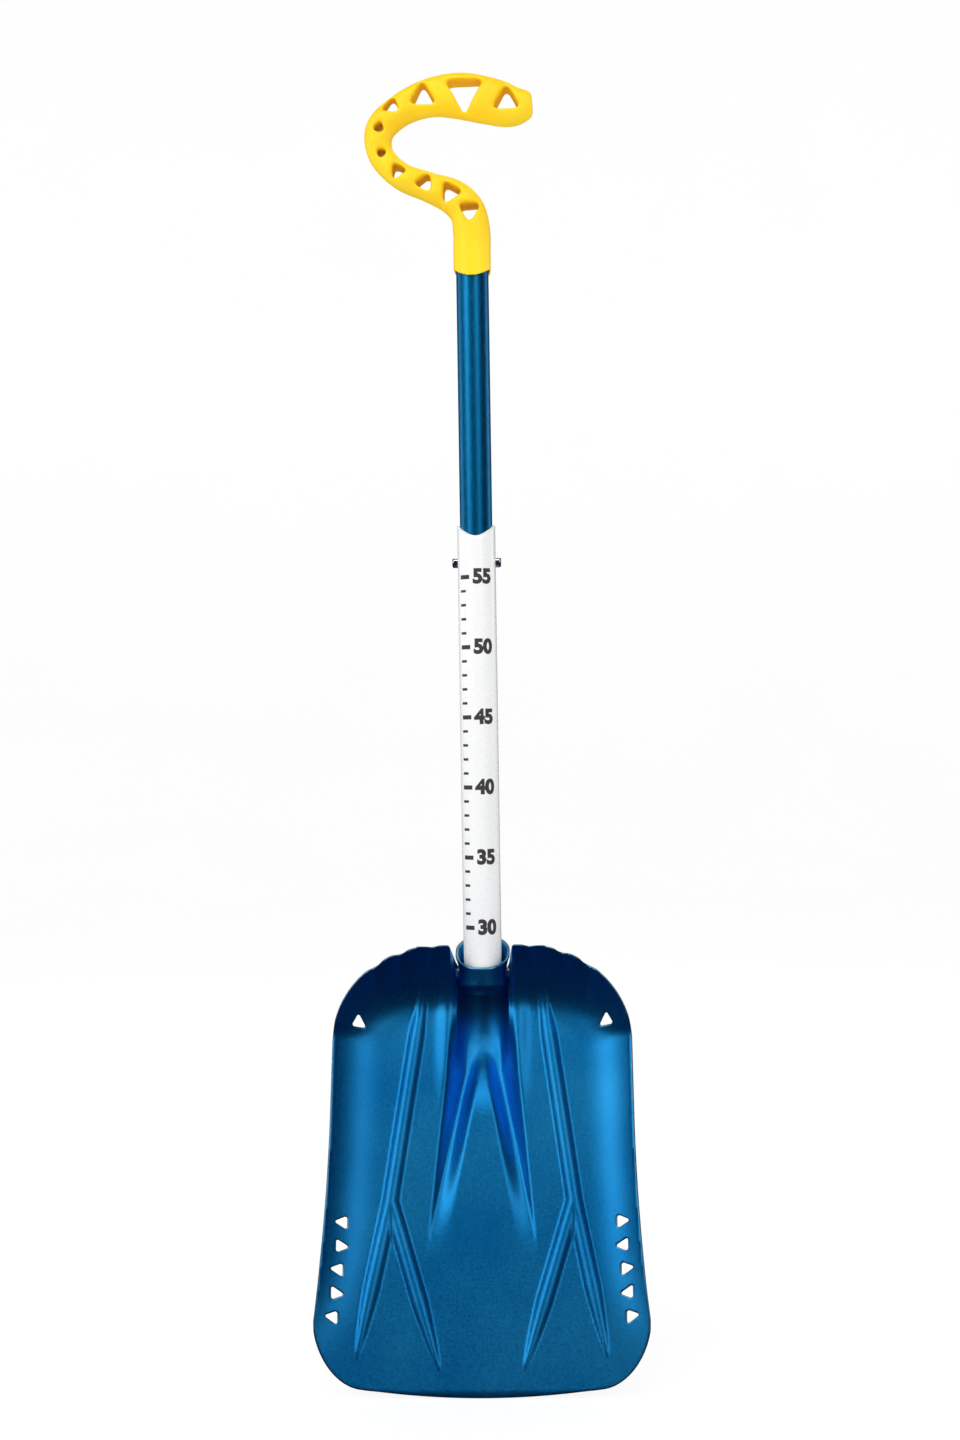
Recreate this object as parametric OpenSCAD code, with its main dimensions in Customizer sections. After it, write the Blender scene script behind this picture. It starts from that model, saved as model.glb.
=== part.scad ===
// Telescopic avalanche shovel: a pressed aluminium blade with a socket, a two-part oval shaft
// with snap buttons, and a moulded S-shaped grip. Millimetres. The blade's tip is at z = 0, the
// shaft runs up along +Z, and the hollow face of the blade looks along -Y.

/* [Blade] */
// Width of the blade at its widest
blade_w = 225; // [190:1:270]
// Length of the blade from its top edge to its tip
blade_len = 300; // [250:1:360]
// Angle between the blade and the shaft
blade_angle = 25; // [15:1:35]
// Thickness of the aluminium sheet
sheet_t = 1.8; // [1.4:0.1:2.4]
// Height of the rolled wall at the shoulders
shoulder_h = 40; // [25:1:45]
// Height of the curled side edges
side_h = 12; // [6:1:16]
// Height of the stiffening beads
bead_h = 3; // [1.5:0.5:4]
// Width of the stiffening beads
bead_w = 12; // [9:1:15]
// Length over which a bead narrows to its pointed end
bead_taper = 45; // [20:1:60]
// Side length of a rounded triangular hole
hole_side = 9; // [6:0.5:11]

/* [Shaft] */
// Width of the lower tube across its flat sides
lower_w = 27; // [25:0.5:33]
// Length of each tube's flat side, from front to back
flat_len = 7.5; // [6:0.5:9]
// Wall of both tubes
tube_wall = 1.7; // [1.4:0.1:2.1]
// Length of the lower tube
lower_len = 327; // [270:0.5:400]
// Length of upper tube seen between the lower tube and the grip
upper_shown = 183.5; // [150:0.5:225]
// Length of upper tube below its snap buttons
upper_tail = 46; // [36:1:56]
// Gap that stays between the grip and the lower tube when the shaft is pushed in
stow_gap = 5.5; // [3:0.5:8]
// Drop of the rounded end cut at the top of the lower tube
rim_drop = 11; // [6:0.5:13]

/* [Snap buttons] */
// Diameter of a button
button_d = 7; // [5:0.5:8.5]
// Distance of the upper buttons below the top of the lower tube
upper_button_drop = 26.5; // [22:0.5:34]
// How far an upper button stands out of the lower tube
upper_button_out = 4; // [3:0.1:5]
// How far a lower button stands out of the collar
lower_button_out = 1.5; // [1:0.1:2.5]
// Metal left between a lower button's hole and the end of the lower tube
button_margin = 2.7; // [2:0.1:5]
// Width of the spring strip
clip_w = 8; // [6:0.5:9]
// Thickness of the spring strip
clip_t = 0.8; // [0.6:0.1:1]

/* [Collar] */
// Wall of the collar
collar_wall = 2; // [1.5:0.1:2.5]
// Distance of the collar's lower edge below the top of the blade's floor
collar_drop = 12.5; // [10:0.5:16]
// Height of the collar at the front
collar_front_h = 13; // [11:0.5:18]
// Height of the collar at the back
collar_back_h = 32.5; // [28:0.5:40]
// Thickness of the lip that the lower tube rests on
collar_lip_t = 2; // [1.5:0.1:3]
// Diameter of a rivet's shank
rivet_d = 4; // [3:0.5:5]

/* [Grip] */
// Wall of the grip's sleeve around the upper tube
grip_wall = 1.75; // [1.5:0.05:3]
// Length of upper tube held in the grip
grip_depth = 31; // [24:1:33]
// Depth of the handle from front to back
grip_d = 31; // [26:1:34]
// Drop of the tongues at the front and back of the sleeve
tongue_drop = 6.5; // [4:0.5:8]
// Corner radius of the triangular windows
window_r = 1.6; // [1:0.1:2]

/* [Fits] */
// Gap between the two tubes
tube_gap = 0.3; // [0.2:0.05:0.4]
// Gap between the lower tube's crown and the collar
collar_gap = 0.3; // [0.2:0.05:0.4]
// Gap between the lower tube's flat side and the collar
collar_side_gap = 1.7; // [1:0.1:2.2]
// Gap between a button and its hole
button_gap = 0.1; // [0.05:0.01:0.1]
// Gap between the upper tube and the grip's bore
grip_gap = 0.15; // [0.1:0.05:0.2]
// Gap between the collar and the pressed channel behind it
channel_gap = 0.5; // [0.4:0.1:0.8]
// Gap that keeps two pieces from touching at rest
seat_gap = 0.3; // [0.2:0.05:0.4]

/* [Hidden] */

anodised = [0.02, 0.33, 0.58];
white = [0.93, 0.93, 0.93];
chrome = [0.75, 0.76, 0.78];
yellow = [0.98, 0.83, 0.1];
eps = 0.01;

// Tube sections: width across the flats, from the outside in
lower_in = lower_w - 2 * tube_wall;
upper_w = lower_in - 2 * tube_gap;
upper_in = upper_w - 2 * tube_wall;
collar_in = lower_w + 2 * collar_side_gap;
collar_w = collar_in + 2 * collar_wall;
// The collar touches the tube's crown only, so its own flats are shorter
collar_flat = flat_len + 2 * collar_gap - 2 * collar_side_gap;
// Half depth of the collar, from the shaft's axis to its back
collar_back = (collar_w + collar_flat) / 2;

// Heights along the shaft
top_edge = -2;
tip_s = blade_len + top_edge;
root_z = tip_s * cos(blade_angle) + sheet_t * sin(blade_angle);
collar_z = root_z - collar_drop;
lower_z = collar_z + collar_lip_t + seat_gap;
lower_button_z = lower_z + button_d / 2 + button_margin;
rim_z = lower_z + lower_len;
upper_button_z = rim_z - upper_button_drop;
upper_z = upper_button_z - upper_tail;
grip_z = rim_z + upper_shown;
upper_len = grip_z + grip_depth - upper_z;
travel = upper_shown - stow_gap;

// The shaft's axis lies behind the middle of the overall depth
front_y = tip_s * sin(blade_angle);
rivet_head_t = 1.6;
channel_back = collar_back + channel_gap + sheet_t + rivet_head_t;
shaft_y = (front_y - channel_back) / 2;

// ---- shared shapes ----

// An oval of two half circles joined by flat sides, w wide and with sides f long
module oval(w, f) {
    for (side = [-1, 1]) translate([0, side * f / 2]) circle(d = w, $fn = 64);
    square([w, f], center = true);
}

module oval_tube(w, wall, f, h) {
    difference() {
        linear_extrude(h) oval(w, f);
        translate([0, 0, -1]) linear_extrude(h + 2) oval(w - 2 * wall, f);
    }
}

// Cylinder along X through both sides of a tube
module side_holes(d, z) {
    translate([0, 0, z]) rotate([0, 90, 0])
        cylinder(d = d, h = 4 * lower_w, center = true, $fn = 48);
}

// Radius of a cylinder along X whose edge drops by "drop" over the half depth "half"
function dome_r(half, drop) = (half * half + drop * drop) / (2 * drop);

function clamp(v, lo = 0, hi = 1) = min(max(v, lo), hi);
function smooth(v) = let (u = clamp(v)) u * u * (3 - 2 * u);
function mix(a, b, t) = a + (b - a) * t;

// ---- blade ----
// The blade is a height h over a plane. Across it runs x, and down it runs s, which is 0 at the
// shaft's axis and grows towards the tip.

half_w = blade_w / 2;
// The shoulder is a quarter ellipse, and below the waist the sides flare out to the corners
shoulder_s = 60;
shoulder_len = shoulder_s - top_edge;
shoulder_w = 76;
side_flare = 7.5;
side_w = half_w - side_flare;
shoulder_x = side_w - shoulder_w;
waist_s = 110;
corner_r = 32;
corner_len = 40;
corner_s = tip_s - corner_len;
// The bottom edge bows towards the tip, over the last stretch of the blade
tip_bow = 5.4;
bow_s = 150;
// Half width of the pressed channel, and its depth from the shaft's axis
channel_w = collar_w / 2 + 1.2;
channel_y = collar_back + channel_gap;
// The columns of the sheet's grid: close together over the channel, then evenly spread
inner_cols = [for (k = [0.18, 0.36, 0.54, 0.7, 0.84, 0.94, 1.0, 1.12, 1.4, 1.8, 2.4]) k * channel_w];
inner_last = inner_cols[len(inner_cols) - 1];
top_w = inner_last + 2;

function side_x(s) =
    s < waist_s ? side_w : side_w + side_flare * pow((s - waist_s) / (corner_s - waist_s), 2);

// Half width of a quarter ellipse w wide, at the share v of its height
function quarter(w, v) = w * sqrt(max(0, 1 - v * v));

// Half width of the row that crosses the middle of the blade at s
function row_w(s) =
    s < shoulder_s ? max(top_w, shoulder_x + quarter(shoulder_w, (shoulder_s - s) / shoulder_len))
    : s < corner_s ? side_x(s)
    : half_w - corner_r + quarter(corner_r, (s - corner_s) / corner_len);

// Distance from the outline, inside it
function edge_gap(ax, s) =
    s < shoulder_s
    ? let (u = max(0, ax - shoulder_x) / shoulder_w, v = (shoulder_s - s) / shoulder_len, q = norm([u, v]))
      (1 - q) * mix(shoulder_w, shoulder_len, v / max(q, eps))
    : side_x(s) - ax;

// How much a place on the rim belongs to the top edge rather than to the sides
function topness(ax, s) =
    let (u = max(0, ax - shoulder_x) / shoulder_w, v = max(0, shoulder_s - s) / shoulder_len)
    v / max(norm([u, v]), eps) * smooth(v * 4);

// Width of the curled rim, at the sides and at the top, and how sharply it curls
rim_w_side = 40;
rim_w_top = 37;
curl_side = 2.4;
curl_top = 2;
// Beside the collar the rim rises within this width
collar_ramp = 5.5;
function rim(ax, s) =
    let (t = topness(ax, s),
         h = mix(side_h * mix(1, 0.2, smooth((s - 200) / 90)), shoulder_h, t),
         w = mix(rim_w_side, rim_w_top, t),
         near_collar = mix(1, smooth((ax - channel_w) / collar_ramp), smooth((shoulder_s - s) / 30)))
    h * near_collar * pow(clamp(1 - edge_gap(ax, s) / w), mix(curl_side, curl_top, t));

// The channel: a half pipe behind the collar, which parts into two legs round a tongue
leg_end = tip_s - 90;
pipe_end = collar_drop;

function leg_profile(ax, s) =
    let (crease = max(0.62 * channel_w, 11 + (s - 71) * 0.2),
         outer = channel_w + 2 + 0.085 * s,
         inner = max(0, (s - 65) * 0.17),
         tongue = smooth((s - 45) / 65))
    ax > crease ? 0.5 + 0.5 * cos(180 * clamp((ax - crease) / max(outer - crease, 1)))
    : 1 - tongue * smooth((crease - ax) / (crease - inner));

// Depth of a half pipe that runs parallel to the shaft
function pipe(ax, s) =
    ax > channel_w ? 0
    : (channel_y * sqrt(1 - pow(ax / channel_w, 2)) + s * sin(blade_angle)) / cos(blade_angle);

function channel(ax, s) =
    let (e = min(s, pipe_end), fade = pow(clamp(1 - (s - pipe_end) / (leg_end - pipe_end)), 1.5))
    fade * mix(pipe(ax, e), pipe(0, e) * leg_profile(ax, s), smooth((s - 30) / 45));

// Rolled ridge on each side of the channel
flute_h = 4;
flute_w = 6;
function flute(ax, s) =
    flute_h * exp(-pow((ax - channel_w - flute_w) / flute_w, 2))
    * smooth((s + 4) / 20) * (1 - smooth((s - 50) / 80));

// A Y-shaped bead on each side: a stem from the shoulder that forks towards the tip
bead_top = [0.365 * half_w, 8];
bead_fork = [0.56 * half_w, 0.565 * tip_s];
bead_outer = [0.742 * half_w, 0.912 * tip_s];
bead_inner = [0.253 * half_w, 0.938 * tip_s];

// A raised bead that starts full at a and narrows to a point at b
function bead(p, a, b) =
    let (u = clamp((p - a) * (b - a) / ((b - a) * (b - a))),
         share = sqrt(max(eps, min(1, (1 - u) * norm(b - a) / bead_taper))),
         off = norm(p - a - u * (b - a)) / (share * bead_w / 2))
    bead_h * share * max(0, 1 - off * off);

function beads(ax, s) =
    let (p = [ax, s])
    max(bead(p, bead_fork, bead_top), bead(p, bead_fork, bead_outer), bead(p, bead_fork, bead_inner));

dish = 3;
function blade_h(x, s) =
    let (ax = abs(x))
    dish * pow(x / half_w, 2) + rim(ax, s) + flute(ax, s) + beads(ax, s) - channel(ax, s);

function on_blade(x, s, h) =
    [x, -s * sin(blade_angle) - h * cos(blade_angle), root_z - s * cos(blade_angle) + h * sin(blade_angle)];

function face_point(x, s) = on_blade(x, s, blade_h(x, s));

step = 0.4;
function face_normal(x, s) =
    let (n = cross(face_point(x + step, s) - face_point(x - step, s),
                   face_point(x, s + step) - face_point(x, s - step)))
    -n / norm(n);

// Behind the collar the sheet rises in an arch, so that the rivets have something to hold
arch_w = channel_w - 3;
arch_h = 18;
arch_len = 36;
function arch(x, s) = arch_h * smooth(1 - abs(x) / arch_w) * (1 - smooth((s - top_edge) / arch_len));

rows = 46;
outer_cols = 9;
half_cols = len(inner_cols) + outer_cols;

function row_s(i) = let (v = i / rows) mix(top_edge, tip_s, mix(v, 0.5 - 0.5 * cos(180 * v), 0.55));

function col_x(j, w) =
    let (k = abs(j), beyond = k - len(inner_cols))
    k == 0 ? 0 : sign(j) * (beyond <= 0 ? inner_cols[k - 1] : mix(inner_last, w, beyond / outer_cols));

// Where row i and column j cross, in x and s
function grid(i, j) =
    let (s = row_s(i), x = col_x(j, row_w(s)),
         bow = tip_bow * smooth((s - bow_s) / (tip_s - bow_s)) * pow(x / (half_w - corner_r), 2))
    [x, s - bow - arch(x, s)];

module blade_sheet() {
    cols = 2 * half_cols + 1;
    count = (rows + 1) * cols;
    spots = [for (i = [0:rows]) for (j = [-half_cols:half_cols]) grid(i, j)];
    front = [for (p = spots) face_point(p[0], p[1])];
    back = [for (p = spots) face_point(p[0], p[1]) - sheet_t * face_normal(p[0], p[1])];
    at = function (i, j) i * cols + j;
    faces_front = [for (i = [0:rows - 1]) for (j = [0:cols - 2])
        each [[at(i, j), at(i, j + 1), at(i + 1, j + 1)], [at(i, j), at(i + 1, j + 1), at(i + 1, j)]]];
    faces_back = [for (f = faces_front) [f[2] + count, f[1] + count, f[0] + count]];
    edge = concat([for (j = [0:cols - 2]) at(0, j)], [for (i = [0:rows - 1]) at(i, cols - 1)],
        [for (j = [cols - 1:-1:1]) at(rows, j)], [for (i = [rows:-1:1]) at(i, 0)]);
    rim_faces = [for (k = [0:len(edge) - 1]) let (a = edge[k], b = edge[(k + 1) % len(edge)])
        each [[b, a, a + count], [b, a + count, b + count]]];
    polyhedron(concat(front, back), concat(faces_front, faces_back, rim_faces), convexity = 10);
}

// A rounded triangle whose first corner points at the angle "turn"
module rounded_triangle(side, r, turn, h) {
    rotate(turn) hull() for (a = [0, 120, 240])
        rotate(a) translate([side / sqrt(3) - 2 * r + r / 2, 0, -h / 2]) cylinder(r = r, h = h, $fn = 16);
}

// Puts its children on the blade's face at x and s, with Z along the blade's own normal
module place_on_blade(x, s) {
    translate(face_point(x, s)) rotate([90 - blade_angle, 0, 0]) children();
}

// Rope holes: one at each shoulder and a row of five along each lower side
shoulder_hole = [0.775 * half_w, 44];
row_count = 5;
row_start = 0.62 * tip_s;
row_pitch = 17;
row_inset = 12.3;

module blade_holes() {
    for (side = [-1, 1]) {
        place_on_blade(side * shoulder_hole[0], shoulder_hole[1])
            rounded_triangle(hole_side, 1.2, 90, 20);
        for (k = [0:row_count - 1]) let (s = row_start + k * row_pitch)
            place_on_blade(side * (side_x(s) - row_inset), s)
                rounded_triangle(hole_side, 1.2, (side > 0 ? 0 : 180) + 180 * k, 20);
    }
}

module blade() {
    color(anodised) translate([0, shaft_y, 0]) difference() {
        blade_sheet();
        blade_holes();
        side_holes(button_d + 3, lower_button_z);
        for (z = rivet_zs) rivet_hole(z);
    }
}

// ---- collar ----

rivet_zs = [collar_z + 8, collar_z + 22];

module rivet_hole(z) {
    translate([0, collar_back / 2, z]) rotate([-90, 0, 0])
        cylinder(d = rivet_d + 0.1, h = 2 * collar_back, $fn = 32);
}

module collar() {
    // The top is cut on a slope, low at the front and high at the back
    depth = 2 * collar_back;
    slope = atan((collar_back_h - collar_front_h) / depth);
    color(anodised) translate([0, shaft_y, 0]) difference() {
        translate([0, 0, collar_z]) linear_extrude(collar_back_h) oval(collar_w, collar_flat);
        translate([0, 0, collar_z + collar_lip_t]) linear_extrude(collar_back_h) oval(collar_in, collar_flat);
        translate([0, 0, collar_z - 1]) linear_extrude(collar_back_h) oval(lower_in, flat_len);
        translate([0, -collar_back, collar_z + collar_front_h]) rotate([slope, 0, 0])
            translate([-collar_w, -collar_w, 0]) cube([2 * collar_w, 4 * depth, 2 * collar_back_h]);
        side_holes(button_d + 2 * button_gap, lower_button_z);
        for (z = rivet_zs) rivet_hole(z);
    }
}

// Two flush rivets that hold the collar in the channel
module collar_rivets() {
    inside = collar_back - collar_wall + 0.1;
    outside = channel_y + sheet_t + 0.1;
    color(chrome) translate([0, shaft_y, 0]) for (z = rivet_zs) translate([0, 0, z]) rotate([-90, 0, 0]) {
        translate([0, 0, inside]) cylinder(d = rivet_d, h = outside - inside + eps, $fn = 32);
        translate([0, 0, outside])
            cylinder(d1 = 1.9 * rivet_d, d2 = 1.2 * rivet_d, h = rivet_head_t - 0.1, $fn = 32);
    }
}

// ---- shaft ----

module lower_shaft() {
    half = (lower_w + flat_len) / 2;
    r = dome_r(half, rim_drop);
    color(white) translate([0, shaft_y, 0]) difference() {
        intersection() {
            translate([0, 0, lower_z]) oval_tube(lower_w, tube_wall, flat_len, lower_len);
            union() {
                translate([0, 0, rim_z - r]) rotate([0, 90, 0])
                    cylinder(r = r, h = 2 * lower_w, center = true, $fn = 96);
                translate([-lower_w, -lower_w, 0]) cube([2 * lower_w, 2 * lower_w, rim_z - r]);
            }
        }
        side_holes(button_d + 2 * button_gap, upper_button_z);
        side_holes(button_d + 2 * button_gap, upper_button_z - travel);
        side_holes(button_d + 2 * button_gap, lower_button_z);
    }
}

module upper_shaft() {
    color(anodised) translate([0, shaft_y, 0]) difference() {
        translate([0, 0, upper_z]) oval_tube(upper_w, tube_wall, flat_len, upper_len);
        side_holes(button_d + 2 * button_gap, upper_button_z);
        grip_rivet_hole();
    }
}

// Plastic plug in the lower end of the upper tube, which keeps it from rattling
guide_flange = 6;
guide_plug = 10;
module upper_shaft_guide() {
    color([0.1, 0.1, 0.1]) translate([0, shaft_y, upper_z]) difference() {
        union() {
            translate([0, 0, -guide_flange]) linear_extrude(guide_flange) oval(lower_in - 0.2, flat_len);
            linear_extrude(guide_plug) oval(upper_in - 0.2, flat_len);
        }
        translate([0, 0, -guide_flange - 1]) linear_extrude(guide_flange + guide_plug + 2)
            oval(upper_in - 6, flat_len);
    }
}

// ---- snap buttons ----

// The flange inside the tube that keeps a button from falling out
flange_t = 0.9;
flange_out = 1.2;

// Reach of a button's inner face from the axis, in a tube that is w wide inside
function seat_x(w) = w / 2 - seat_gap - flange_t;

// A button that points along +X: a flange inside the tube, a shank, and a rounded tip
module button(inside_w, tip_x, z) {
    seat = seat_x(inside_w);
    round_r = 1.2;
    color(chrome) translate([0, shaft_y, z]) rotate([0, 90, 0]) rotate_extrude($fn = 48) {
        translate([0, seat]) square([button_d / 2 + flange_out, flange_t]);
        translate([0, seat]) square([button_d / 2, tip_x - seat - round_r]);
        translate([0, seat]) square([button_d / 2 - round_r, tip_x - seat]);
        translate([button_d / 2 - round_r, tip_x - round_r]) circle(r = round_r, $fn = 32);
    }
}

// A U-shaped spring strip whose legs press the two buttons out
module spring_clip(inside_w, z, bend_z) {
    out = seat_x(inside_w);
    leg_top = z + button_d / 2 + 1;
    color([0.6, 0.6, 0.62]) translate([0, shaft_y, 0]) {
        for (side = [-1, 1]) translate([side * (out - clip_t / 2) - clip_t / 2, -clip_w / 2, bend_z])
            cube([clip_t, clip_w, leg_top - bend_z]);
        translate([0, clip_w / 2, bend_z]) rotate([90, 0, 0]) linear_extrude(clip_w) difference() {
            circle(r = out, $fn = 64);
            circle(r = out - clip_t, $fn = 64);
            translate([-2 * out, 0]) square(4 * out);
        }
    }
}

clip_leg = 24;
upper_tip = lower_w / 2 + upper_button_out;
lower_tip = collar_w / 2 + lower_button_out;

module upper_spring_clip() { spring_clip(upper_in, upper_button_z, upper_button_z - clip_leg); }
module upper_button_right() { button(upper_in, upper_tip, upper_button_z); }
module upper_button_left() { mirror([1, 0, 0]) upper_button_right(); }

// The lower clip hangs above its buttons, because the tube ends just below them
module lower_spring_clip() {
    translate([0, 0, 2 * lower_button_z]) mirror([0, 0, 1])
        spring_clip(lower_in, lower_button_z, lower_button_z - clip_leg);
}
module lower_button_right() { button(lower_in, lower_tip, lower_button_z); }
module lower_button_left() { mirror([1, 0, 0]) lower_button_right(); }

// ---- grip ----

sleeve_w = upper_w + 2 * (grip_gap + grip_wall);
sleeve_half = sleeve_w / 2;
sleeve_back = sleeve_half + flat_len / 2;

// The handle's centre line, above the sleeve's lower edge: x, z and half thickness
handle = [
    [0, -10, sleeve_half], [0, 12, sleeve_half], [0, 28, sleeve_half], [-3, 43, 12.9],
    [-13, 53.5, 12.3], [-30, 61, 10.2], [-50, 69.5, 9.3], [-64.5, 85, 9.3], [-65, 103, 10.3],
    [-50, 117, 10.8], [-29, 125.3, 13.2], [-8, 126.3, 16], [12, 122.5, 16.4], [30, 118, 14.4],
    [45, 119, 8.6]
];
handle_steps = 4;

// A smooth curve through the points, at place t between points 1 and 2 of four
function blend4(a, b, c, d, t) =
    0.5 * (2 * b + (c - a) * t + (2 * a - 5 * b + 4 * c - d) * t * t + (3 * b - a - 3 * c + d) * t * t * t);

function handle_at(u) =
    let (last = len(handle) - 1, i = min(floor(u), last - 1))
    blend4(i == 0 ? 2 * handle[0] - handle[1] : handle[i - 1], handle[i], handle[i + 1],
        i + 2 > last ? 2 * handle[last] - handle[last - 1] : handle[i + 2], u - i);

// Cross-section of the handle at u: a rounded oval across the centre line
ring_sides = 28;
function handle_ring(u) =
    let (p = handle_at(u), e = 0.02, last = len(handle) - 1,
         way = handle_at(min(u + e, last)) - handle_at(max(u - e, 0)),
         along = [way[0], way[1]] / norm([way[0], way[1]]), across = [along[1], -along[0]],
         deep = mix(sleeve_back, grip_d / 2, smooth((u - 1) / 4)) * (1 - 0.2 * smooth(u - last + 1)),
         n = mix(2.6, 2.2, smooth((u - 1) / 4)))
    [for (k = [0:ring_sides - 1]) let (a = 360 * k / ring_sides,
        c = sign(cos(a)) * pow(abs(cos(a)), 2 / n), d = sign(sin(a)) * pow(abs(sin(a)), 2 / n))
        [p[0] + across[0] * c * p[2], deep * d, p[1] + across[1] * c * p[2]]];

module handle_body() {
    last = len(handle) - 1;
    rings = [for (k = [0:last * handle_steps]) handle_ring(k / handle_steps)];
    points = [for (r = rings) each r];
    count = len(rings);
    walls = [for (i = [0:count - 2]) for (k = [0:ring_sides - 1]) let (n = (k + 1) % ring_sides,
        a = i * ring_sides + k, b = i * ring_sides + n, c = a + ring_sides, d = b + ring_sides)
        each [[a, c, b], [b, c, d]]];
    ends = [[for (k = [0:ring_sides - 1]) k], [for (k = [ring_sides - 1:-1:0]) (count - 1) * ring_sides + k]];
    polyhedron(points, concat(walls, ends), convexity = 10);
}

// Triangular windows: x, z, side length and the angle of one corner
windows = [
    [26.5, 119.5, 20, 90], [-3.5, 127, 27, 270], [-33.5, 124, 19, 90], [-56, 117.5, 13.5, 80],
    [-65, 102, 9.5, 72], [-63.5, 84, 9, 265], [-52, 71, 12.5, 0], [-33, 62, 14, 64],
    [-14.5, 54.7, 16, 0], [-1, 41.5, 16, 270]
];

// Height of the grip's rivet above the sleeve's lower edge
grip_rivet_up = 15;
module grip_rivet_hole() {
    translate([0, 0, grip_z + grip_rivet_up]) rotate([-90, 0, 0])
        cylinder(d = rivet_d + 0.1, h = 2 * sleeve_w, $fn = 32);
}

module grip() {
    cut_r = dome_r(sleeve_back, tongue_drop);
    color(yellow) translate([0, shaft_y, 0]) difference() {
        translate([0, 0, grip_z]) handle_body();
        translate([0, 0, grip_z - cut_r]) rotate([0, 90, 0])
            cylinder(r = cut_r, h = 2 * sleeve_w, center = true, $fn = 96);
        translate([0, 0, grip_z - 20]) linear_extrude(20 + grip_depth + seat_gap)
            oval(upper_w + 2 * grip_gap, flat_len);
        for (w = windows) translate([w[0], 0, grip_z + w[1]]) rotate([90, 0, 0])
            rounded_triangle(w[2], window_r, w[3], 3 * grip_d);
        grip_rivet_hole();
    }
}

// Flat-headed rivet through the back of the sleeve and the upper tube
module grip_rivet() {
    inside = upper_in / 2 + flat_len / 2 - 1;
    color(chrome) translate([0, shaft_y, grip_z + grip_rivet_up]) rotate([-90, 0, 0]) {
        translate([0, 0, inside]) cylinder(d = rivet_d, h = sleeve_back - inside + 0.2, $fn = 32);
        translate([0, 0, sleeve_back + 0.1])
            cylinder(d1 = 1.8 * rivet_d, d2 = 1.2 * rivet_d, h = 1.2, $fn = 32);
    }
}

blade();
collar();
collar_rivets();
lower_shaft();
lower_spring_clip();
lower_button_left();
lower_button_right();
upper_shaft();
upper_shaft_guide();
upper_spring_clip();
upper_button_left();
upper_button_right();
grip();
grip_rivet();
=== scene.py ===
import math

import bmesh
import bpy
import numpy as np
from mathutils import Matrix, Vector
from mathutils.geometry import delaunay_2d_cdt


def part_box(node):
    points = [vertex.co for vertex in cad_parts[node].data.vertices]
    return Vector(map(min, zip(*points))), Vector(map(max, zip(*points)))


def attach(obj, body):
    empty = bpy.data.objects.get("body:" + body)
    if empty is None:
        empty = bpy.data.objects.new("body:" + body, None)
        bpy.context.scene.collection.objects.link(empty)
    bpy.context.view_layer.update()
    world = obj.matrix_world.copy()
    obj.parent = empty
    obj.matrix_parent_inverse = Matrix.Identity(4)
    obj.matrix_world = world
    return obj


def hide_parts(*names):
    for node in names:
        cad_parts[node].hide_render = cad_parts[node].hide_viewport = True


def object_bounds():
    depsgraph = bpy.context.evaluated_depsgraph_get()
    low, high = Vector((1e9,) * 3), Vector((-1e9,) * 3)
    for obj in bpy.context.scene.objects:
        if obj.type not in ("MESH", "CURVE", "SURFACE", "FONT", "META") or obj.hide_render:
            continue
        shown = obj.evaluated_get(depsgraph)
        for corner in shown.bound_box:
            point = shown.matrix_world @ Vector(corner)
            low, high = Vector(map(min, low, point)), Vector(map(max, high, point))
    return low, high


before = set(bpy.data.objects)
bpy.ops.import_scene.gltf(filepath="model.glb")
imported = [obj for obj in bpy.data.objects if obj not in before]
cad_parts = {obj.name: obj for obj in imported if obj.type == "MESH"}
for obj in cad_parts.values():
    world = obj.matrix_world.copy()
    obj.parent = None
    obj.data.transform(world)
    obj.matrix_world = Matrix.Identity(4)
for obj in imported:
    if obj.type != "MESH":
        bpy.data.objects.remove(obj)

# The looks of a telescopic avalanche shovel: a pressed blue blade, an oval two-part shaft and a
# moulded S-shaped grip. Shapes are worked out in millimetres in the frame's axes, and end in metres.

MM = 0.001
cad_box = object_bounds()


def size_mm(node):
    """The lowest and highest corner of a CAD node, in millimetres."""
    lo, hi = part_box(node)
    return np.array(lo) / MM, np.array(hi) / MM


# ---- sizes, from the frame ----

lower_lo, lower_hi = size_mm("lower_shaft")
upper_lo, upper_hi = size_mm("upper_shaft")
collar_lo, collar_hi = size_mm("collar")
_, blade_hi = size_mm("blade")
button_lo, button_hi = size_mm("lower_button_right")

SHAFT_Y = (lower_lo[1] + lower_hi[1]) / 2
LOWER_W = lower_hi[0] - lower_lo[0]
UPPER_W = upper_hi[0] - upper_lo[0]
FLAT = (lower_hi[1] - lower_lo[1]) - LOWER_W
COLLAR_W = collar_hi[0] - collar_lo[0]
COLLAR_FLAT = (collar_hi[1] - collar_lo[1]) - COLLAR_W
COLLAR_BACK = (collar_hi[1] - collar_lo[1]) / 2
COLLAR_WALL = 2.0
COLLAR_DROP = 12.5
TUBE_WALL = 1.7
BUTTON_D = 7.0
BUTTON_Z = (button_lo[2] + button_hi[2]) / 2
ROOT_Z = collar_lo[2] + COLLAR_DROP
GRIP_DEPTH = 31.0
GRIP_Z = upper_hi[2] - GRIP_DEPTH


# ---- small helpers ----

def clamp(v, lo=0.0, hi=1.0):
    return np.minimum(np.maximum(v, lo), hi)


def smooth(v):
    u = clamp(v)
    return u * u * (3 - 2 * u)


def mix(a, b, t):
    return a + (b - a) * t


def bump(v, width):
    """A smooth hump that is 1 at v = 0."""
    return np.exp(-((v / width) ** 2))


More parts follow.
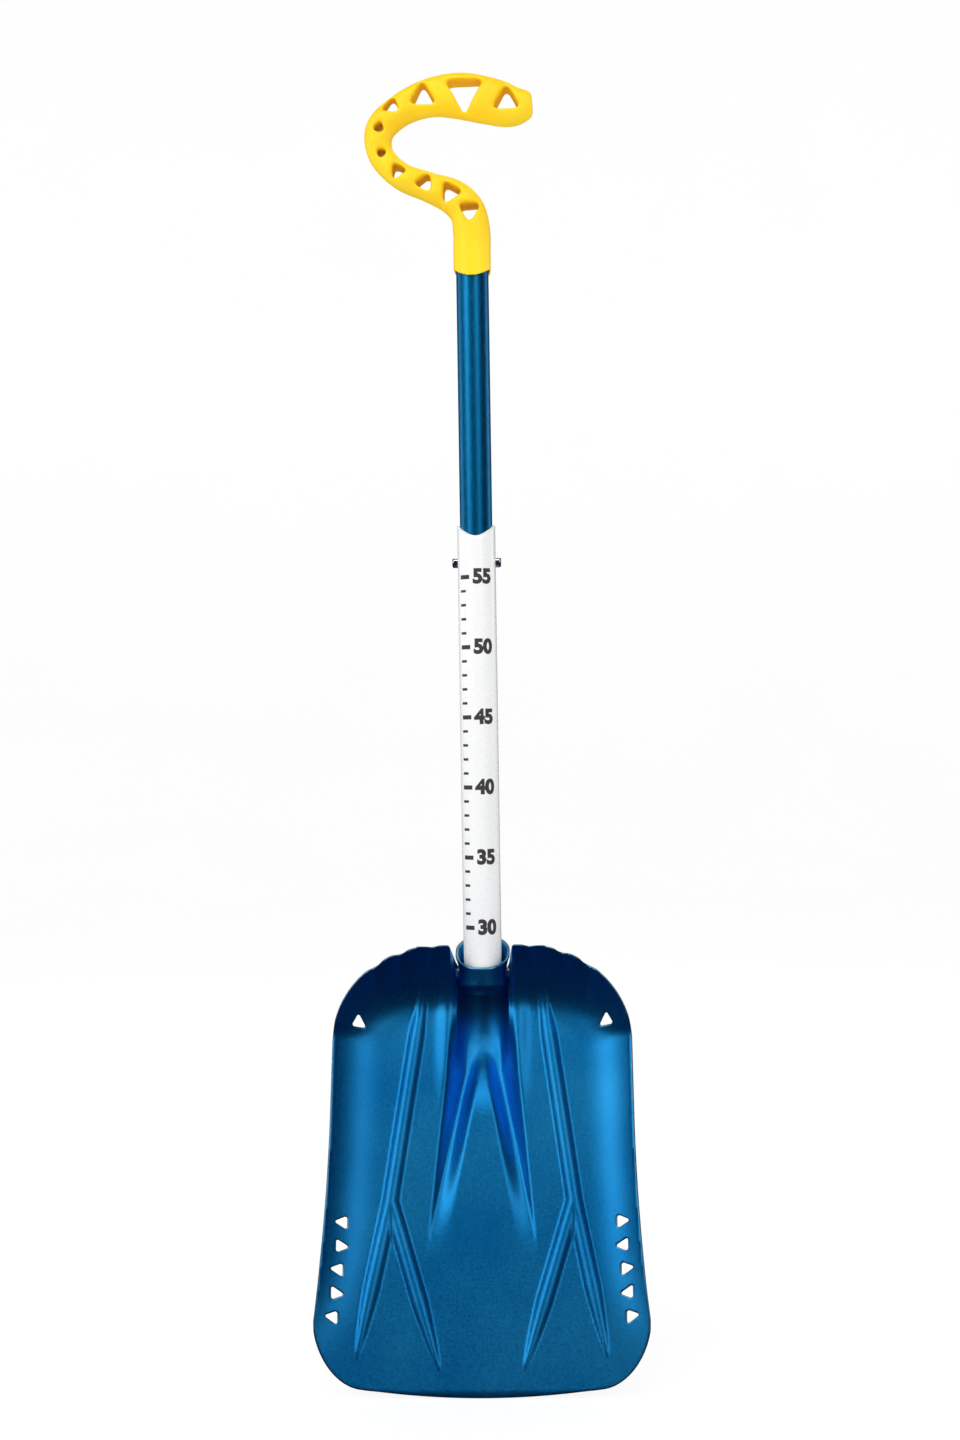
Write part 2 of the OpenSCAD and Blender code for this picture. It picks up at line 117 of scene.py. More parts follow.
def mesh_piece(name, points, faces, material, body):
    """A piece from points in millimetres, which rides on a body."""
    mesh = bpy.data.meshes.new(name)
    mesh.from_pydata((np.asarray(points) * MM).tolist(), [], faces)
    mesh.validate()
    piece = bpy.data.objects.new(name, mesh)
    bpy.context.scene.collection.objects.link(piece)
    mesh.materials.append(material)
    mesh.shade_smooth()
    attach(piece, body)
    return piece


def apply_modifiers(piece):
    """Puts the piece's modifiers into its mesh."""
    graph = bpy.context.evaluated_depsgraph_get()
    mesh = bpy.data.meshes.new_from_object(piece.evaluated_get(graph))
    piece.modifiers.clear()
    old = piece.data
    piece.data = mesh
    bpy.data.meshes.remove(old)


def cut_with(piece, cutter, solver="EXACT"):
    """Takes the cutter's shape out of the piece, and removes the cutter."""
    cut = piece.modifiers.new("cut", "BOOLEAN")
    cut.operation = "DIFFERENCE"
    cut.solver = solver
    cut.use_self = solver == "EXACT"
    cut.object = cutter
    apply_modifiers(piece)
    bpy.data.objects.remove(cutter)


def loose_mesh(name, points, faces):
    """An object for cutting, in millimetres, on no body."""
    mesh = bpy.data.meshes.new(name)
    mesh.from_pydata((np.asarray(points) * MM).tolist(), [], faces)
    piece = bpy.data.objects.new(name, mesh)
    bpy.context.scene.collection.objects.link(piece)
    return piece


def cylinder_across(r, z, half_length=60, sides=64):
    """A cylinder for cutting along X through the shaft's axis, in millimetres."""
    bpy.ops.mesh.primitive_cylinder_add(vertices=sides, radius=r * MM, depth=2 * half_length * MM,
                                        location=(0, SHAFT_Y * MM, z * MM), rotation=(0, math.pi / 2, 0))
    return bpy.context.object


def prisms(outlines, y_front, y_back):
    """Closed prisms along Y, one for each outline of (x, z) points, anticlockwise seen from the front."""
    points, faces = [], []
    for outline in outlines:
        start, count = len(points), len(outline)
        points += [(x, y_front, z) for x, z in outline] + [(x, y_back, z) for x, z in outline]
        faces.append([start + k for k in range(count)])
        faces.append([start + count + k for k in reversed(range(count))])
        for k in range(count):
            after = (k + 1) % count
            faces.append([start + k, start + count + k, start + count + after, start + after])
    return points, faces


# ---- materials ----

class Shader:
    """A node material built round one Principled shader."""

    def __init__(self, name, **values):
        self.material = bpy.data.materials.new(name)
        self.material.use_nodes = True
        self.tree = self.material.node_tree
        self.main = self.tree.nodes["Principled BSDF"]
        for socket, value in values.items():
            self.main.inputs[socket.replace("_", " ")].default_value = value
        self.place = self.node("ShaderNodeTexCoord").outputs["Object"]

    def node(self, kind, settings=None, **inputs):
        made = self.tree.nodes.new(kind)
        for key, value in (settings or {}).items():
            setattr(made, key, value)
        for key, value in inputs.items():
            socket = made.inputs[int(key[1:])] if key[1:].isdigit() else made.inputs[key.replace("_", " ")]
            if isinstance(value, bpy.types.NodeSocket):
                self.tree.links.new(value, socket)
            else:
                socket.default_value = value
        return made

    def noise(self, per_metre, detail=3.0, stretch=(1, 1, 1), rough=0.5):
        """Noise from 0 to 1, with so many grains a metre, stretched along each axis."""
        place = self.node("ShaderNodeMapping", Vector=self.place, Scale=[1 / k for k in stretch])
        made = self.node("ShaderNodeTexNoise", Vector=place.outputs[0], Scale=per_metre, Detail=detail,
                         Roughness=rough)
        return made.outputs["Fac"]

    def level(self, value, from_lo, from_hi, to_lo, to_hi):
        made = self.node("ShaderNodeMapRange", Value=value, From_Min=from_lo, From_Max=from_hi,
                         To_Min=to_lo, To_Max=to_hi)
        return made.outputs[0]

    def blend(self, share, a, b):
        """Colour a where share is 0, and b where it is 1."""
        made = self.node("ShaderNodeMix", {"data_type": "RGBA"}, i0=share, i6=a, i7=b)
        return made.outputs[2]

    def drive(self, socket, value):
        self.tree.links.new(value, self.main.inputs[socket])

    def relief(self, *heights):
        """Bumps, each as (height, strength, distance in metres)."""
        normal = None
        for height, strength, distance in heights:
            extra = {} if normal is None else {"Normal": normal}
            normal = self.node("ShaderNodeBump", Height=height, Strength=strength, Distance=distance,
                               **extra).outputs[0]
        self.drive("Normal", normal)


def anodised(name, deep, bright, roughness, stretch):
    """Dyed aluminium: a fine satin grain, with slow changes of the dye."""
    s = Shader(name, Metallic=1.0, Coat_Weight=0.2, Coat_Roughness=0.35)
    slow = s.noise(14, 2, stretch)
    grain = s.noise(750, 3, stretch, 0.65)
    both = s.node("ShaderNodeMath", {"operation": "ADD"}, i0=slow, i1=grain).outputs[0]
    share = s.level(both, 0.75, 1.25, 0, 1)
    s.drive("Base Color", s.blend(share, deep, bright))
    s.drive("Roughness", s.level(grain, 0.3, 0.7, roughness - 0.05, roughness + 0.07))
    s.relief((grain, 0.32, 0.0003))
    return s.material


def bare_edge():
    """The cut edge of the sheet, lighter than its faces: partly dye worn thin and polished by use, partly a
    painted highlight along the rounded edge.
    """
    s = Shader("sheet_edge_wear_and_painted_highlight", Metallic=1.0)
    edge_patches = s.noise(60, 4)
    # Painted highlight: this blue-silver is lighter than the faces. It stands in for the light line along
    # the sheet's rounded edge, as well as for bare metal.
    s.drive("Base Color", s.blend(s.level(edge_patches, 0.35, 0.7, 0, 1), (0.05, 0.3, 0.5, 1), (0.3, 0.5, 0.62, 1)))
    s.drive("Roughness", s.level(edge_patches, 0.3, 0.7, 0.22, 0.4))
    return s.material


def yellow_plastic():
    s = Shader("moulded_yellow", Subsurface_Weight=0.25, Subsurface_Scale=0.004,
               Subsurface_Radius=(1.0, 0.6, 0.15), Specular_IOR_Level=0.35)
    tone = s.noise(18, 2)
    pores = s.noise(1600, 2, rough=0.6)
    share = s.level(tone, 0.35, 0.65, 0, 1)
    s.drive("Base Color", s.blend(share, (0.93, 0.60, 0.004, 1), (0.97, 0.67, 0.008, 1)))
    s.drive("Roughness", s.level(pores, 0.3, 0.7, 0.4, 0.52))
    s.relief((s.noise(120, 2), 0.08, 0.0006), (pores, 0.1, 0.0002))
    return s.material


def white_paint():
    s = Shader("gloss_white_paint", Coat_Weight=0.35, Coat_Roughness=0.12)
    tone = s.noise(25, 2, (1, 1, 6))
    peel = s.noise(420, 2)
    share = s.level(tone, 0.3, 0.7, 0, 1)
    s.drive("Base Color", s.blend(share, (0.78, 0.785, 0.79, 1), (0.86, 0.86, 0.86, 1)))
    s.drive("Roughness", s.level(peel, 0.3, 0.7, 0.24, 0.34))
    s.relief((peel, 0.06, 0.0004))
    return s.material


def black_ink():
    s = Shader("black_ink", Specular_IOR_Level=0.4)
    speck = s.noise(1500, 4, rough=0.7)
    share = s.level(speck, 0.45, 0.75, 0, 1)
    s.drive("Base Color", s.blend(share, (0.022, 0.022, 0.024, 1), (0.11, 0.11, 0.115, 1)))
    s.drive("Roughness", s.level(speck, 0.3, 0.7, 0.5, 0.75))
    s.relief((speck, 0.2, 0.0001))
    return s.material


def bright_metal(name, colour, roughness, stretch=(1, 1, 1)):
    s = Shader(name, Metallic=1.0)
    marks = s.noise(700, 3, stretch)
    darker = [c * 0.8 for c in colour[:3]] + [1]
    s.drive("Base Color", s.blend(s.level(marks, 0.3, 0.7, 0, 1), darker, colour))
    s.drive("Roughness", s.level(marks, 0.3, 0.7, roughness, roughness + 0.12))
    s.relief((marks, 0.05, 0.0002))
    return s.material


def black_plastic():
    s = Shader("black_plastic")
    pores = s.noise(1200, 3)
    s.drive("Base Color", s.blend(pores, (0.012, 0.012, 0.013, 1), (0.03, 0.03, 0.032, 1)))
    s.drive("Roughness", s.level(pores, 0.3, 0.7, 0.5, 0.7))
    s.relief((pores, 0.15, 0.0002))
    return s.material


BLADE_BLUE = anodised("blade_anodised", (0.0, 0.25, 0.66, 1), (0.016, 0.37, 0.80, 1), 0.42, (1, 1, 1))
SHAFT_BLUE = anodised("shaft_anodised", (0.0, 0.28, 0.62, 1), (0.014, 0.36, 0.74, 1), 0.42, (1, 1, 5))
EDGE_WEAR_AND_HIGHLIGHT = bare_edge()
YELLOW = yellow_plastic()
WHITE = white_paint()
INK = black_ink()
CHROME = bright_metal("button_chrome", (0.78, 0.79, 0.81, 1), 0.12)
RIVET = bright_metal("rivet_metal", (0.66, 0.67, 0.69, 1), 0.3)
SPRING = bright_metal("spring_steel", (0.55, 0.56, 0.58, 1), 0.28, (1, 1, 8))
GUIDE = black_plastic()

# The CAD pieces that keep their own mesh, with the material of each
PAINT = {
    "lower_shaft": WHITE, "upper_shaft": SHAFT_BLUE, "upper_shaft_guide": GUIDE,
    "lower_spring_clip": SPRING, "upper_spring_clip": SPRING,
    "lower_button_left": CHROME, "lower_button_right": CHROME,
    "upper_button_left": CHROME, "upper_button_right": CHROME,
    "collar_rivets": RIVET, "grip_rivet": RIVET,
}
for node, material in PAINT.items():
    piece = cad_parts[node]
    piece.data.materials.clear()
    piece.data.materials.append(material)


# ---- blade ----
# The blade is a height over a plane. Across it runs x, and down it runs s, which is 0 at the
# shaft's axis and grows towards the tip. Heights and lengths are in millimetres.

TILT = math.radians(25)
SHEET_T = 1.8
HALF_W = blade_hi[0] - 0.07
TOP_S = -2.0
TIP_S = 298.0
SIDE_FLARE = 7.5
SIDE_W = HALF_W - SIDE_FLARE
SHOULDER_S, SHOULDER_W, SHOULDER_H = 60.0, 76.0, 40.0
SHOULDER_LEN = SHOULDER_S - TOP_S
SHOULDER_X = SIDE_W - SHOULDER_W
SIDE_H = 12.0
WAIST_S = 110.0
CORNER_R, CORNER_LEN = 32.0, 40.0
CORNER_S = TIP_S - CORNER_LEN
TIP_BOW, BOW_S = 5.4, 150.0
RIM_W_SIDE, RIM_W_TOP = 40.0, 37.0
CURL_SIDE, CURL_TOP = 2.4, 2.0
# The side rim sinks to this share of its height between these two places down the blade
RIM_LEFT, RIM_FADE_S, RIM_FADE_LEN = 0.2, 200, 90
CHANNEL_W = COLLAR_W / 2 + 1.2
CHANNEL_Y = COLLAR_BACK + 0.5
# Beside the collar the rim rises within this width, a little steeper than in the CAD model
COLLAR_RAMP = 3.6
TOP_W = 2.4 * CHANNEL_W + 2
RAMP_LEN = 30
LEG_END = TIP_S - 90
# The half pipe turns into the two legs from this place down, within this length
PIPE_END, PIPE_FADE = 30, 45
# A leg's crease, inner edge and outer edge spread by these amounts for each millimetre of s
CREASE_W, CREASE_S, CREASE_SPREAD = 11, 71, 0.2
INNER_S, INNER_SPREAD = 65, 0.17
OUTER_SPREAD = 0.085
TONGUE_S, TONGUE_LEN = 45, 65
FLUTE_H, FLUTE_W = 2.6, 6.5
FLUTE_START, FLUTE_RISE = -4, 20
FLUTE_FADE_S, FLUTE_FADE_LEN = 50, 80
BEAD_H, BEAD_W, BEAD_TAPER = 3.0, 12.0, 45.0
DISH = 3.0
LIP_SLOPE, LIP_LEN = 0.3, 4.2
ARCH_H, ARCH_LEN = 18, 36
HOLE_SIDE, HOLE_R = 9.0, 1.2
SHOULDER_HOLE = (0.775 * HALF_W, 44)
ROW_COUNT, ROW_START, ROW_PITCH, ROW_INSET = 5, 0.62 * TIP_S, 17, 12.3


def side_x(s):
    """Half the blade's width at s, below the shoulders."""
    return np.where(s < WAIST_S, SIDE_W, SIDE_W + SIDE_FLARE * ((s - WAIST_S) / (CORNER_S - WAIST_S)) ** 2)


def shoulder_place(ax, s):
    """Place in the shoulder's quarter ellipse: across, up, and how near its edge."""
    u = np.maximum(0, ax - SHOULDER_X) / SHOULDER_W
    v = (SHOULDER_S - s) / SHOULDER_LEN
    return u, v, np.hypot(u, v)


def edge_gap(ax, s):
    """Distance from the side or shoulder edge."""
    u, v, q = shoulder_place(ax, s)
    round_gap = (1 - q) * mix(SHOULDER_W, SHOULDER_LEN, v / np.maximum(q, 0.01))
    return np.where(s < SHOULDER_S, round_gap, side_x(s) - ax)


def topness(ax, s):
    """0 beside the side edge, and 1 below the top edge."""
    u, v, _ = shoulder_place(ax, s)
    v = np.maximum(0, v)
    return v / np.maximum(np.hypot(u, v), 0.01) * smooth(v * 4)


def rim(ax, s):
    """Height of the curled sides and the rolled shoulders."""
    t = topness(ax, s)
    height = mix(SIDE_H * mix(1, RIM_LEFT, smooth((s - RIM_FADE_S) / RIM_FADE_LEN)), SHOULDER_H, t)
    width = mix(RIM_W_SIDE, RIM_W_TOP, t)
    near_collar = mix(1, smooth((ax - CHANNEL_W) / COLLAR_RAMP), smooth((SHOULDER_S - s) / RAMP_LEN))
    share = clamp(1 - edge_gap(ax, s) / width)
    return height * near_collar * (share ** mix(CURL_SIDE, CURL_TOP, t) - puckers(ax, s) * t)


# Folds along the top edge: place across, depth as a share of the rim's height, and width
PUCKERS = [(34, 0.08, 3.2), (57, 0.12, 3.6), (75, 0.15, 4.2)]
PUCKER_LEN = 18


def puckers(ax, s):
    """Small folds where the pressed shoulder's edge gathers."""
    near_edge = smooth(1 - edge_gap(ax, s) / PUCKER_LEN)
    return sum(depth * bump(ax - x, width) for x, depth, width in PUCKERS) * near_edge


def leg_profile(ax, s):
    """Share of the channel's depth, where a tongue parts it into two legs that spread with s."""
    crease = np.maximum(0.62 * CHANNEL_W, CREASE_W + (s - CREASE_S) * CREASE_SPREAD)
    outer = CHANNEL_W + 2 + OUTER_SPREAD * s
    inner = np.maximum(0, (s - INNER_S) * INNER_SPREAD)
    tongue = smooth((s - TONGUE_S) / TONGUE_LEN)
    wall = 0.5 + 0.5 * np.cos(math.pi * clamp((ax - crease) / np.maximum(outer - crease, 1)))
    floor = 1 - tongue * smooth((crease - ax) / (crease - inner))
    return np.where(ax > crease, wall, floor)


def pipe(ax, s):
    """Depth of a half pipe that runs parallel to the shaft."""
    round_part = CHANNEL_Y * np.sqrt(np.maximum(0, 1 - (ax / CHANNEL_W) ** 2))
    return np.where(ax > CHANNEL_W, 0, (round_part + s * math.sin(TILT)) / math.cos(TILT))


def channel(ax, s):
    """Depth of the channel: a half pipe at the collar, which turns into the two legs."""
    held_s = np.minimum(s, COLLAR_DROP)
    fade = clamp(1 - (s - COLLAR_DROP) / (LEG_END - COLLAR_DROP)) ** 1.5
    legs = pipe(0 * ax, held_s) * leg_profile(ax, s)
    return fade * mix(pipe(ax, held_s), legs, smooth((s - PIPE_END) / PIPE_FADE))


def flute(ax, s):
    """A low ridge beside the channel."""
    rise = smooth((s - FLUTE_START) / FLUTE_RISE)
    along = rise * (1 - smooth((s - FLUTE_FADE_S) / FLUTE_FADE_LEN))
    return FLUTE_H * bump(ax - CHANNEL_W - FLUTE_W, FLUTE_W) * along


BEAD_TOP = (0.365 * HALF_W, 8.0)
BEAD_FORK = (0.56 * HALF_W, 0.565 * TIP_S)
BEAD_OUTER = (0.742 * HALF_W, 0.912 * TIP_S)
BEAD_INNER = (0.253 * HALF_W, 0.938 * TIP_S)


def bead(ax, s, a, b):
    """A raised bead that starts full at a and narrows to a point at b."""
    along = np.subtract(b, a)
    length = np.hypot(*along)
    u = clamp(((ax - a[0]) * along[0] + (s - a[1]) * along[1]) / length ** 2)
    share = np.sqrt(clamp((1 - u) * length / BEAD_TAPER, 0.01, 1))
    off = np.hypot(ax - a[0] - u * along[0], s - a[1] - u * along[1]) / (share * BEAD_W / 2)
    return BEAD_H * share * np.maximum(0, 1 - off * off)


def beads(ax, s):
    arms = [bead(ax, s, BEAD_FORK, end) for end in (BEAD_TOP, BEAD_OUTER, BEAD_INNER)]
    return np.maximum.reduce(arms)


def bottom_lip(ax, s):
    """The last few millimetres before the bottom edge bend back."""
    return -LIP_SLOPE * np.maximum(0, s - (TIP_S - LIP_LEN))


def blade_height(x, s):
    ax = np.abs(x)
    dish = DISH * (x / HALF_W) ** 2
    return dish + rim(ax, s) + flute(ax, s) + beads(ax, s) + bottom_lip(ax, s) - channel(ax, s)


def face_point(x, s):
    h = blade_height(x, s)
    return np.stack([x, SHAFT_Y - s * math.sin(TILT) - h * math.cos(TILT),
                     ROOT_Z - s * math.cos(TILT) + h * math.sin(TILT)], -1)


def face_normal(x, s):
    step = 0.5
    across = face_point(x + step, s) - face_point(x - step, s)
    down = face_point(x, s + step) - face_point(x, s - step)
    n = np.cross(down, across)
    return n / np.linalg.norm(n, axis=-1, keepdims=True)


def real_s(x, s):
    """Where a place of the flat outline lies: the tip's bow and the arch at the collar move it up."""
    bow = TIP_BOW * smooth((s - BOW_S) / (TIP_S - BOW_S)) * (x / (HALF_W - CORNER_R)) ** 2
    arch = ARCH_H * smooth(1 - np.abs(x) / (CHANNEL_W - 3)) * (1 - smooth((s - TOP_S) / ARCH_LEN))
    return s - bow - arch


def spaced(curve, a, b, gap):
    """Points of the curve from parameter a to b, about gap apart, without the last."""
    fine = curve(np.linspace(a, b, 400))
    run = np.concatenate([[0], np.cumsum(np.hypot(*np.diff(fine, axis=0).T))])
    count = max(2, round(run[-1] / gap))
    at = np.linspace(0, run[-1], count + 1)[:-1]
    return np.stack([np.interp(at, run, fine[:, 0]), np.interp(at, run, fine[:, 1])], -1)


def blade_outline(gap):
    """The right half of the flat outline, from the middle of the top edge to the middle of the bottom."""
    start = math.asin((TOP_W - SHOULDER_X) / SHOULDER_W)

    def shoulder(t):
        return np.stack([SHOULDER_X + SHOULDER_W * np.sin(t), SHOULDER_S - SHOULDER_LEN * np.cos(t)], -1)

    def corner(t):
        return np.stack([HALF_W - CORNER_R + CORNER_R * np.cos(t), CORNER_S + CORNER_LEN * np.sin(t)], -1)

    parts = [
        (lambda t: np.stack([t, 0 * t + TOP_S], -1), 0, TOP_W),
        (shoulder, start, math.pi / 2),
        (lambda t: np.stack([side_x(t), t], -1), SHOULDER_S, CORNER_S),
        (corner, 0, math.pi / 2),
        (lambda t: np.stack([t, 0 * t + TIP_S], -1), HALF_W - CORNER_R, 0),
    ]
    half = np.concatenate([spaced(curve, a, b, gap) for curve, a, b in parts] + [[[0, TIP_S]]])
    left = half[1:-1][::-1] * (-1, 1)
    return np.concatenate([half, left])


def rounded_triangle(centre, side, r, turn, arc_points=7):
    """Outline of a triangle with round corners, its first corner at the angle turn, anticlockwise."""
    points = []
    for corner in range(3):
        out = turn + math.radians(120 * corner)
        reach = side / math.sqrt(3) - 1.5 * r
        for a in np.linspace(-math.pi / 3, math.pi / 3, arc_points):
            points.append((centre[0] + reach * math.cos(out) + r * math.cos(out + a),
                           centre[1] + reach * math.sin(out) + r * math.sin(out + a)))
    return points


def blade_holes():
    """Outlines of the rope holes on the flat, with s downwards."""
    holes = []
    for side in (-1, 1):
        centre = (side * SHOULDER_HOLE[0], -SHOULDER_HOLE[1])
        holes.append(rounded_triangle(centre, HOLE_SIDE, HOLE_R, math.radians(90)))
        for k in range(ROW_COUNT):
            s = ROW_START + ROW_PITCH * k
            turn = (0 if side > 0 else 180) + 180 * k
            centre = (side * (float(side_x(np.float64(s))) - ROW_INSET), -s)
            holes.append(rounded_triangle(centre, HOLE_SIDE, HOLE_R, math.radians(turn)))
    return [np.array(h) * (1, -1) for h in holes]


def inside(points, loop):
    """Which points lie inside a loop."""
    hit = np.zeros(len(points), bool)
    for a, b in zip(loop, np.roll(loop, -1, 0)):
        crosses = (a[1] > points[:, 1]) != (b[1] > points[:, 1])
        at = a[0] + (points[:, 1] - a[1]) * (b[0] - a[0]) / (b[1] - a[1] + 1e-12)
        hit ^= crosses & (points[:, 0] < at)
    return hit


def loop_distance(points, loop):
    """Distance from each point to the nearest of the loop's sides."""
    best = np.full(len(points), 1e9)
    for a, b in zip(loop, np.roll(loop, -1, 0)):
        d = b - a
        u = clamp(((points - a) @ d) / (d @ d))
        best = np.minimum(best, np.hypot(*(points - a - u[:, None] * d).T))
    return best


def flat_mesh(gap):
    """Points and triangles of the blade's flat outline, with its holes left out."""
    outline, holes = blade_outline(gap), blade_holes()
    edge_room, hole_room, least_area = 1.1, 1.0, 1e-6
    fine = CHANNEL_W * np.sin(np.linspace(0, math.pi / 2, 19))
    wall = CHANNEL_W + COLLAR_RAMP * np.linspace(0.15, 1.05, 7)
    half_x = np.concatenate([fine, wall, np.arange(wall[-1] + gap, HALF_W, gap)])
    xs = np.concatenate([-half_x[:0:-1], half_x])
    ss = np.arange(TOP_S + gap, TIP_S, gap)
    spots = np.stack(np.meshgrid(xs, ss), -1).reshape(-1, 2)
    near = spots[np.abs(spots[:, 0]) < HALF_W]
    keep = inside(near, outline)
    near = near[keep]
    near = near[loop_distance(near, outline) > edge_room]
    for hole in holes:
        middle = hole.mean(0)
        close = np.hypot(*(near - middle).T) < HOLE_SIDE
        bad = np.zeros(len(near), bool)
        bad[close] = inside(near[close], hole) | (loop_distance(near[close], hole) < hole_room)
        near = near[~bad]
    loops = [outline] + holes
    points = np.concatenate(loops + [near])
    edges, start = [], 0
    for loop in loops:
        count = len(loop)
        edges += [(start + k, start + (k + 1) % count) for k in range(count)]
        start += count
    flipped = [Vector((x, -s)) for x, s in points]
    verts, _, tris, *_ = delaunay_2d_cdt(flipped, edges, [], 0, 1e-7)
    verts = np.array([(v.x, -v.y) for v in verts])
    tris = np.array([t for t in tris if len(t) == 3])
    middle = verts[tris].mean(1)
    keep = inside(middle, outline)
    for hole in holes:
        keep &= ~inside(middle, hole)
    tris = tris[keep]
    a, b, c = (verts[tris[:, k]] * (1, -1) for k in range(3))
    area = (b[:, 0] - a[:, 0]) * (c[:, 1] - a[:, 1]) - (b[:, 1] - a[:, 1]) * (c[:, 0] - a[:, 0])
    tris = tris[np.abs(area) > least_area]
    turned = area[np.abs(area) > least_area] < 0
    tris[turned] = tris[turned][:, ::-1]
    used = np.unique(tris)
    renumber = np.zeros(len(verts), int)
    renumber[used] = np.arange(len(used))
    return verts[used], renumber[tris]


def edge_loops(tris):
    """The next vertex along the sheet's free edges, with the sheet on the left."""
    pairs = np.concatenate([tris[:, [0, 1]], tris[:, [1, 2]], tris[:, [2, 0]]])
    known = set(map(tuple, pairs.tolist()))
    return {a: b for a, b in known if (b, a) not in known}


def make_blade():
    """The pressed sheet: a front and a back face, joined by a rounded edge."""
    flat, tris = flat_mesh(1.3)
    x, s = flat[:, 0], real_s(flat[:, 0], flat[:, 1])
    front, normal = face_point(x, s), face_normal(x, s)
    following = edge_loops(tris)
    before = {b: a for a, b in following.items()}
    ring = np.array(sorted(following))
    after = np.array([following[k] for k in ring])
    behind = np.array([before[k] for k in ring])
    tangent = front[after] - front[behind]
    outward = np.cross(tangent, normal[ring])
    outward /= np.linalg.norm(outward, axis=1, keepdims=True)
    round_r = 0.75
    middle = front[ring] - outward * round_r - normal[ring] * SHEET_T / 2
    front[ring] -= outward * round_r
    back = front - normal * SHEET_T
    # The cut edge is a half round between the two faces
    steps = 5
    points = [front, back]
    for k in range(1, steps):
        a = math.pi * k / steps
        points.append(middle + outward * round_r * math.sin(a) + normal[ring] * SHEET_T / 2 * math.cos(a))
    count, edge_count = len(front), len(ring)
    place = {v: k for k, v in enumerate(ring)}
    next_place = np.array([place[v] for v in after])
    between = [2 * count + edge_count * k + np.arange(edge_count) for k in range(steps - 1)]
    rows = [ring] + between + [ring + count]
    faces = tris.tolist() + (tris[:, ::-1] + count).tolist()
    sheet_faces = len(faces)
    for upper, lower in zip(rows, rows[1:]):
        faces += np.stack([upper, lower, lower[next_place], upper[next_place]], 1).tolist()
    blade = mesh_piece("blade_sheet", np.concatenate(points), faces, BLADE_BLUE, "blade_assembly")
    # The rounded edge takes the lighter edge material: bare metal with a painted highlight.
    blade.data.materials.append(EDGE_WEAR_AND_HIGHLIGHT)
    slots = np.zeros(len(blade.data.polygons), np.int32)
    slots[sheet_faces:] = 1
    blade.data.polygons.foreach_set("material_index", slots)
    cut_with(blade, cylinder_across(BUTTON_D / 2 + 1.5, BUTTON_Z), "MANIFOLD")
    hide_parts("blade")


# ---- collar ----

def oval(width, flat, turns):
    """Points and outward normals of an oval round the shaft, at these turns from 0 to 1."""
    angle = 2 * math.pi * turns
    normal = np.stack([np.cos(angle), np.sin(angle)], -1)
    middle = np.stack([0 * angle, np.where(np.sin(angle) >= 0, 1, -1) * flat / 2], -1)
    return middle + normal * width / 2, normal


def make_collar():
    """A socket round the shaft, low at the front, high at the back, with a mouth that opens out."""
    around = 128
    # Twin columns at the two sides carry the oval's flat stretch
    sides = [np.linspace(start + 0.0001, start + 0.4999, around // 2) for start in (0, 0.5)]
    turns = np.concatenate(sides)
    lip_t, flare, edge_r = 2.0, 2.6, 0.8
    z0 = collar_lo[2]
    inner_w, inner_flat = COLLAR_W - 2 * COLLAR_WALL, COLLAR_FLAT
    bore_w = LOWER_W - 2 * TUBE_WALL
    front_top, back_top = 13.0, collar_hi[2] - z0
    flare_len = 12

    def ring(width, flat, z, out):
        points, normal = oval(width, flat, turns)
        share = clamp((z(points) - (mouth(points) - flare_len)) / flare_len) ** 2
        side = np.abs(normal[:, 0]) ** 1.5 + 0.25 * clamp(normal[:, 1])
        points = points + normal * (out + (flare * share * side))[:, None]
        return np.column_stack([points[:, 0], points[:, 1] + SHAFT_Y, z0 + z(points)])

    def mouth(points):
        share = (points[:, 1] + COLLAR_BACK) / (2 * COLLAR_BACK)
        return mix(front_top, back_top, share)

    rings = [ring(bore_w, FLAT, lambda p: 0 * p[:, 0], 0),
             ring(bore_w, FLAT, lambda p: 0 * p[:, 0] + lip_t, 0)]
    levels = np.linspace(0, 1, 14)
    for level in levels[:-1]:
        rings.append(ring(inner_w, inner_flat, lambda p: mix(lip_t, mouth(p) - edge_r, level), 0))
    edge_rows = set(range(len(rings), len(rings) + 6))
    for a in np.linspace(0, math.pi, 7):
        rings.append(ring(inner_w, inner_flat, lambda p: mouth(p) - edge_r + edge_r * math.sin(a),
                          COLLAR_WALL * (0.5 - 0.5 * math.cos(a))))
    for level in levels[::-1][1:]:
        rings.append(ring(COLLAR_W, COLLAR_FLAT, lambda p: mix(edge_r, mouth(p) - edge_r, level), 0))
    edge_rows |= set(range(len(rings) - 1, len(rings) + 2))
    for a in np.linspace(math.pi / 6, math.pi / 2, 3):
        rings.append(ring(COLLAR_W, COLLAR_FLAT, lambda p: 0 * p[:, 0] + edge_r * (1 - math.sin(a)),
                          -edge_r * (1 - math.cos(a))))
    count, points, faces = len(turns), np.concatenate(rings), []
    for k in range(len(rings)):
        for j in range(count):
            here, there = k * count + j, ((k + 1) % len(rings)) * count + j
            turn_on = (j + 1) % count - j
            faces.append([here, there, there + turn_on, here + turn_on])
    collar = mesh_piece("collar_socket", points, faces, BLADE_BLUE, "blade_assembly")
    # The mouth's and the foot's rounded edges take the lighter edge material: bare metal with a painted
    # highlight.
    collar.data.materials.append(EDGE_WEAR_AND_HIGHLIGHT)
    on_edge = [k // count in edge_rows for k in range(len(faces))]
    collar.data.polygons.foreach_set("material_index", np.array(on_edge, np.int32))
    cut_with(collar, cylinder_across(BUTTON_D / 2 + 0.1, BUTTON_Z))
    collar.data.shade_smooth()
    collar.data.set_sharp_from_angle(angle=math.radians(40))
    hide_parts("collar")


# ---- grip ----

GRIP_GAP, GRIP_WALL = 0.15, 1.75
SLEEVE_HALF = UPPER_W / 2 + GRIP_GAP + GRIP_WALL
SLEEVE_BACK = SLEEVE_HALF + FLAT / 2
